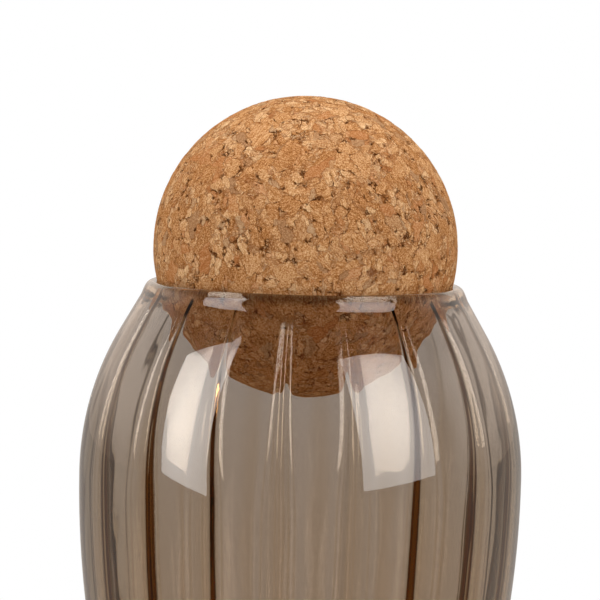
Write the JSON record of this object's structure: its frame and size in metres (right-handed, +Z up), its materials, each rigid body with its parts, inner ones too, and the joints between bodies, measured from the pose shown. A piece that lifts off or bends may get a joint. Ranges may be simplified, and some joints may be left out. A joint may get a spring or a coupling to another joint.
{
  "type": "glass jar with cork ball lid",
  "caption": "Rounded storage jar of smoky brown glass, ribbed inside, with a loose cork ball that rests in its mouth as the lid.",
  "frame": {"origin": "centre of the standing ring, on the surface the jar stands on", "axes": "+Z up along the jar's axis; +X through the middle of a rib; the jar is the same every 20 degrees about +Z"},
  "size_m": [0.1166, 0.1166, 0.1892],
  "materials": {
    "smoky_glass": "clear, polished, smoky brown tint",
    "cork": "matt agglomerated cork, fine open pores"
  },
  "bodies": {
    "jar": {"glass_jar": "smoky_glass"},
    "ball": {"cork_ball": "cork"}
  },
  "joints": [
    {"name": "ball_lift", "type": "slide", "parent": "jar", "child": "ball", "axis": [0, 0, 1], "range_m": [0, 0.08]}
  ]
}
